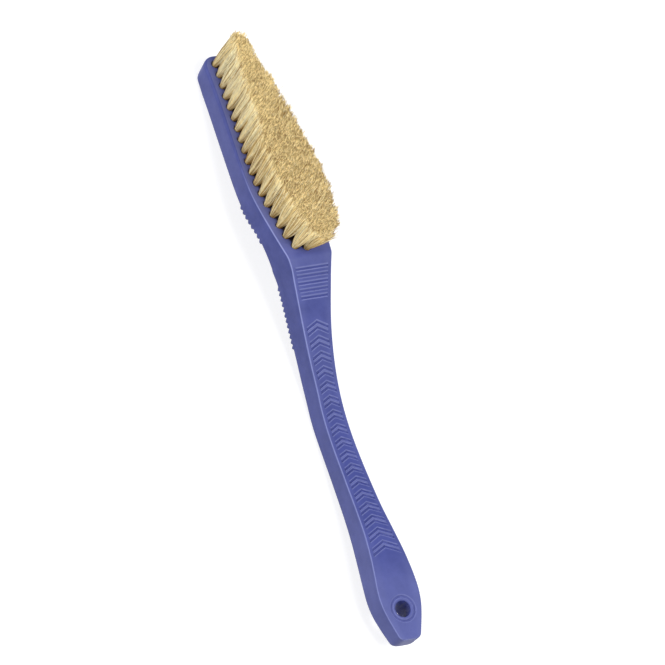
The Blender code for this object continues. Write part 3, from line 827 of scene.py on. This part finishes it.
def hair_opening(along, side, at_tip, at_neck, root):
    """How far hairs open, as shares of their roots' distance from the middle of the tuft.

    A tuft opens into the gaps to its neighbours, but hardly outwards from the field.
    """
    opening = np.full((len(root), 2), ROW_OPENING if side else LANE_OPENING)
    if side:
        outward = NEAR_OUTWARD_OPENING if side < 0 else FAR_OUTWARD_OPENING
        opening[:, 1] = np.where(root[:, 1] * side > 0, outward, LANE_OPENING)
    if at_tip:
        opening[:, 0] = np.where(root[:, 0] < 0, TIP_OPENING, ROW_OPENING)
    opening *= 1 + NECK_WIDENING * max(0.0, 1 - along / NECK_FLARE_RUN)
    if at_neck:
        towards_neck = FAR_NECK_OPENING if side > 0 else NECK_OPENING
        opening[:, 0] = np.where(root[:, 0] > 0, towards_neck, opening[:, 0])
    return opening


def hair_shades(side, at_tip, at_neck, heart, member, pinch, rng):
    """Shade of each hair behind others of the outer face, and in the gap to the next tuft."""
    inner = [np.full(BUNCHES, pinch)]
    for facing_out, outward, sidewards in (
            (side, heart[:, 1] * side, heart[:, 0]),
            (at_tip, -heart[:, 0], heart[:, 1]), (at_neck, heart[:, 0], heart[:, 1])):
        if facing_out:
            inner.append(np.sqrt(np.maximum(0, pinch ** 2 - sidewards ** 2)) - outward)
    behind = np.maximum(0, np.min(inner, axis=0) - SHADE_START)
    behind += np.abs(rng.normal(0, SHADE_JITTER, BUNCHES))
    buried = (1 - np.exp(-behind / SHADE_GROWTH))[member]
    # Most of the shade in a gap falls on its neck's side
    beside = np.clip(heart[:, 0] / pinch, -1, 1)[member]
    in_gap = np.where(beside > 0, NECK_GAP_SHADE, TIP_GAP_SHADE) * beside ** 2
    return buried, in_gap


def hair_heights(side, at_tip, open_along, flank, member, rng):
    """Height of each hair: mown, but uneven by tuft, bunch and hair, and worn at the tip."""
    count = len(member)
    height = BRISTLE_HEIGHT + rng.normal(0, TUFT_UNEVEN)
    uneven = rng.normal(0, BUNCH_UNEVEN, BUNCHES)
    # A few bunches stand low and leave a dark pit in the mown face
    height += np.where(uneven < -PIT_BELOW, uneven - PIT_DEPTH, uneven)[member]
    height += rng.normal(0, HAIR_UNEVEN, count)
    past_first = (open_along - (HEAD_LENGTH - FIRST_TUFT_FROM_TIP)) / TUFT_HOLE_RADIUS / 2
    height -= TIP_ROUNDING * np.clip(past_first, 0, 1) ** 2
    if at_tip and side > 0:
        height -= CORNER_WEAR * np.clip(flank, 0, 1) * ease(past_first + CORNER_WEAR_START)
    height -= np.abs(rng.normal(0, SHORT_BY, count)) * (rng.random(count) < SHORT_ODDS)
    return height


def strand_mesh(name, count, verts, normals, values):
    """Mesh of a number of hairs, each of them a row of rings with a cap at both ends."""
    per_hair = len(verts) // count
    base = (np.arange(count) * per_hair)[:, None, None]
    last = per_hair - HAIR_SIDES
    quads = []
    for low in range(0, last, HAIR_SIDES):
        high = low + HAIR_SIDES
        for corner in range(HAIR_SIDES):
            after = (corner + 1) % HAIR_SIDES
            quads.append([low + corner, low + after, high + after, high + corner])
    quads = (np.array(quads)[None] + base).reshape(-1, 4)
    caps = (np.array([[2, 1, 0], [last, last + 1, last + 2]])[None] + base).reshape(-1, 3)
    mesh = bpy.data.meshes.new(name)
    mesh.from_pydata(verts.tolist(), [], quads.tolist() + caps.tolist())
    set_values(mesh, values)
    mesh.shade_smooth()
    mesh.normals_split_custom_set_from_vertices(normals.tolist())
    return mesh


def hair_mesh(name, along, across, side, settings, rng):
    """Hairs of one tuft, from the folded root in its hole to the mown top."""
    at_tip = along > HEAD_LENGTH - FIRST_TUFT_FROM_TIP - TUFT_PITCH / 2
    at_neck = along < LAST_TUFT_FROM_CREASE + TUFT_PITCH / 4
    crowd = 1 if side else LANE_CROWD
    crowd += NECK_CROWD * max(0.0, 1 - along / NECK_FLARE_RUN * NECK_CROWD_FALL)
    count = round(settings.hairs * crowd)
    # The roots fill the hole in a spiral, which starts at any turn
    turn = np.arange(count) * math.pi * (3 - math.sqrt(5)) + rng.uniform(0, TUFT_TURN)
    pinch = (TUFT_HOLE_RADIUS - settings.hair_radius) * PINCH_SHARE
    reach = pinch * np.sqrt((np.arange(count) + 0.5) / count)
    root = np.stack([reach * np.cos(turn), reach * np.sin(turn)], axis=1)
    root += rng.normal(0, ROOT_JITTER, root.shape)
    # Each hair belongs to the bunch whose heart is nearest
    heart = root[rng.choice(count, BUNCHES, replace=False)]
    member = np.argmin(((root[:, None] - heart[None]) ** 2).sum(axis=2), axis=1)
    tone = hair_tones(along, member, rng)
    opening = hair_opening(along, side, at_tip, at_neck, root)
    buried, in_gap = hair_shades(side, at_tip, at_neck, heart, member, pinch, rng)

    # Each hair leans by its own place in the field, so that the mown top has no gaps
    open_along = along - root[:, 0] * (1 + opening[:, 0])
    open_across = across + root[:, 1] * (1 + opening[:, 1])
    closing = curve(TOP_CLOSE_SHARES, -open_along / HEAD_LENGTH)
    flank = np.clip(open_across / row_half_width(open_along), -1, 1)
    flare = NECK_FLARE * np.maximum(0, 1 - open_along / NECK_FLARE_RUN) ** 2
    lean = np.stack([flare * (1 - SIDE_FLARE_SHARE * flank ** 2),
                     across * (closing - 1)], axis=1)
    bend = rng.normal(0, BUNCH_BEND, (BUNCHES, 2))[member]
    bend = bend + rng.normal(0, HAIR_BEND, (count, 2)) + rng.normal(0, TUFT_BEND, 2)
    curl = rng.normal(0, HAIR_CURL, (count, 2))
    curl = curl * np.where(rng.random((count, 1)) < CURLY_ODDS, CURLY_TIMES, 1)
    sway = rng.normal(0, HAIR_SWAY, (count, 2))
    height = hair_heights(side, at_tip, open_along, flank, member, rng)
    radii = settings.hair_radius * rng.uniform(*HAIR_THICKNESS_RANGE, count)
    twist = rng.uniform(0, HAIR_TURN, count)

    levels = np.array(HAIR_LEVELS)
    rings, normals, shades = [], [], []
    for level in levels:
        z = height * (level / BRISTLE_HEIGHT) if level > 0 else np.full(count, level)
        up = max(level, 0.0)
        share = up / BRISTLE_HEIGHT
        open_share = 1 - math.exp(-up / OPENING_HEIGHT)
        place = root * (1 + opening * open_share)
        # Halfway up, the hairs draw together in their bunches
        drawn = BUNCH_DRAW * math.sin(DRAW_TURN * share)
        place = place + drawn * (heart[member] * (1 + opening * open_share) - place)
        place = place + lean * share ** LEAN_POWER + bend * share
        place = place + sway * math.sin(SWAY_TURN * share) + curl * share ** CURL_POWER
        place[:, 0] -= TIP_BULGE * math.sin(math.pi * share) * at_tip
        shades.append(buried * max(0.0, SHADE_AT_ROOT - SHADE_FALL * share ** SHADE_FALL_POWER)
                      + in_gap * max(0.0, 1 - GAP_SHADE_FALL * share))
        size = radii * (1 - HAIR_TAPER * share)
        # A hair takes part of its shading from the face of the field that it stands in
        rise = TOP_RISE if level == BRISTLE_HEIGHT else ROOT_RISE + RISE_GAIN * share
        flat = OUTWARD_FACING * side * (1 - share ** 4)
        for corner in range(HAIR_SIDES):
            angle = twist + corner * 2 * math.pi / HAIR_SIDES
            out = np.stack([np.cos(angle), np.sin(angle)], axis=1)
            rings.append(np.column_stack([place + size[:, None] * out, z]))
            facing = np.column_stack([out[:, 0], out[:, 1] + flat, np.full(count, rise)])
            normals.append(facing / np.linalg.norm(facing, axis=1)[:, None])

    # The tuft stands square to the sloping face of the head, over its hole
    x = -along * math.cos(HEAD_SLOPE)
    z = CREASE_HEIGHT + x * math.tan(HEAD_SLOPE) + TABLE_LIFT
    mouth = Vector((x + CREASE_X, across, z))
    tilt = np.array(Matrix.Rotation(-HEAD_SLOPE, 3, "Y")).T
    verts = np.stack(rings, axis=1).reshape(-1, 3) @ tilt + np.array(mouth)
    normals = np.stack(normals, axis=1).reshape(-1, 3) @ tilt
    along_hair = np.maximum(levels, 0) / BRISTLE_HEIGHT
    values = {
        "hair_tone": np.repeat(tone, len(rings)),
        "hair_shade": np.repeat(np.stack(shades, axis=1), HAIR_SIDES, axis=1),
        "hair_along": np.tile(np.repeat(along_hair, HAIR_SIDES), count)}
    return strand_mesh(name, count, verts, normals, values)


def drill_hanging_hole(piece):
    """Cut the round hanging hole through the handle with a rod that isn't kept."""
    turns = [2 * math.pi * side / HOLE_SIDES for side in range(HOLE_SIDES)]
    verts = [(HANG_HOLE_X + CREASE_X + HANG_HOLE_RADIUS * math.cos(turn),
              HANG_HOLE_RADIUS * math.sin(turn), height)
             for height in (0.0, CREASE_HEIGHT) for turn in turns]
    faces = [list(range(HOLE_SIDES))[::-1], list(range(HOLE_SIDES, 2 * HOLE_SIDES))]
    for side in range(HOLE_SIDES):
        after = (side + 1) % HOLE_SIDES
        faces.append([side, after, HOLE_SIDES + after, HOLE_SIDES + side])
    rod_mesh = bpy.data.meshes.new("hole_rod")
    rod_mesh.from_pydata(verts, [], faces)
    rod = bpy.data.objects.new("hole_rod", rod_mesh)
    bpy.context.scene.collection.objects.link(rod)
    hole = piece.modifiers.new("hanging_hole", "BOOLEAN")
    hole.operation = "DIFFERENCE"
    hole.solver = "EXACT"
    hole.object = rod
    graph = bpy.context.evaluated_depsgraph_get()
    drilled = bpy.data.meshes.new_from_object(piece.evaluated_get(graph))
    piece.modifiers.clear()
    piece.data = drilled
    drilled.name = "moulded_handle_drilled"
    bpy.data.objects.remove(rod, do_unlink=True)
    drilled.shade_smooth()
    drilled.set_sharp_from_angle(angle=SHARP_ANGLE)


class HOLDBRUSH_OT_handle(bpy.types.Operator):
    """Build the moulded handle with its ribs, grooves and hanging hole."""

    bl_idname = "hold_brush.handle"
    bl_label = "Build handle"

    def execute(self, context):
        settings = context.scene.hold_brush_handle
        mesh = grid_mesh("moulded_handle", *handle_points(settings))
        handle = add_piece("moulded_handle", mesh, polypropylene(settings),
                           ["handle"])
        drill_hanging_hole(handle)
        return {"FINISHED"}


class HOLDBRUSH_OT_tufts(bpy.types.Operator):
    """Fill each tuft hole with its hairs."""

    bl_idname = "hold_brush.tufts"
    bl_label = "Build tufts"

    def execute(self, context):
        settings = context.scene.hold_brush_bristle
        material = boar_bristle(settings)
        rng = np.random.default_rng(HAIR_SEED)
        for name, along, across, side in tuft_places():
            mesh = hair_mesh("hairs_" + name, along, across, side, settings, rng)
            add_piece("hairs_" + name, mesh, material, [name])
        return {"FINISHED"}


class HOLDBRUSH_OT_stage(bpy.types.Operator):
    """Set the pale floor, the soft lights and the camera."""

    bl_idname = "hold_brush.stage"
    bl_label = "Set stage"

    def execute(self, context):
        settings = context.scene.hold_brush_stage
        scene = context.scene
        scene.view_settings.view_transform = "Standard"
        mesh = bpy.data.meshes.new("floor")
        corners = [(-1, -1), (1, -1), (1, 1), (-1, 1)]
        mesh.from_pydata([(FLOOR_REACH * x, FLOOR_REACH * y, 0) for x, y in corners], [],
                         [(0, 1, 2, 3)])
        floor = bpy.data.objects.new("floor", mesh)
        scene.collection.objects.link(floor)
        mesh.materials.append(paper_floor(settings))
        scene.world = bright_room(settings)
        for name, power, width, depth, place in LIGHTS:
            light = bpy.data.lights.new(name, "AREA")
            light.shape = "RECTANGLE"
            light.size = width
            light.size_y = depth
            light.energy = getattr(settings, power)
            lamp = bpy.data.objects.new(name, light)
            lamp.location = place
            lamp.rotation_euler = (-Vector(place)).to_track_quat("-Z", "Y").to_euler()
            scene.collection.objects.link(lamp)
        lens = bpy.data.cameras.new("camera")
        lens.lens = settings.lens
        lens.sensor_width = SENSOR_WIDTH
        lens.clip_end = FARTHEST_SEEN
        camera = bpy.data.objects.new("camera", lens)
        camera.location = CAMERA_PLACE
        camera.rotation_euler = [math.radians(turn) for turn in CAMERA_TURN]
        scene.collection.objects.link(camera)
        scene.camera = camera
        return {"FINISHED"}


class HOLDBRUSH_PT_panel(bpy.types.Panel):
    """Sizes, colours and steps of the brush."""

    bl_label = "Climbing hold brush"
    bl_idname = "HOLDBRUSH_PT_panel"
    bl_space_type = "VIEW_3D"
    bl_region_type = "UI"
    bl_category = "Brush"

    def draw(self, context):
        for group in SETTINGS:
            settings = getattr(context.scene, group)
            box = self.layout.box()
            for name in settings.bl_rna.properties.keys():
                if name not in {"rna_type", "name"}:
                    box.prop(settings, name)
        for operator in OPERATORS:
            self.layout.operator(operator.bl_idname)


SETTINGS = {
    "hold_brush_handle": HandleSettings,
    "hold_brush_bristle": BristleSettings,
    "hold_brush_stage": StageSettings,
}
OPERATORS = (HOLDBRUSH_OT_handle, HOLDBRUSH_OT_tufts, HOLDBRUSH_OT_stage)


def register():
    """Add the settings, the steps and the panel to Blender."""
    for name, group in SETTINGS.items():
        bpy.utils.register_class(group)
        setattr(bpy.types.Scene, name, PointerProperty(type=group))
    for operator in OPERATORS:
        bpy.utils.register_class(operator)
    bpy.utils.register_class(HOLDBRUSH_PT_panel)


def unregister():
    """Take them out again."""
    bpy.utils.unregister_class(HOLDBRUSH_PT_panel)
    for operator in reversed(OPERATORS):
        bpy.utils.unregister_class(operator)
    for name, group in reversed(SETTINGS.items()):
        delattr(bpy.types.Scene, name)
        bpy.utils.unregister_class(group)


def main():
    """Build the brush and its stage."""
    register()
    bpy.ops.hold_brush.handle()
    bpy.ops.hold_brush.tufts()
    bpy.ops.hold_brush.stage()


if __name__ == "__main__":
    main()
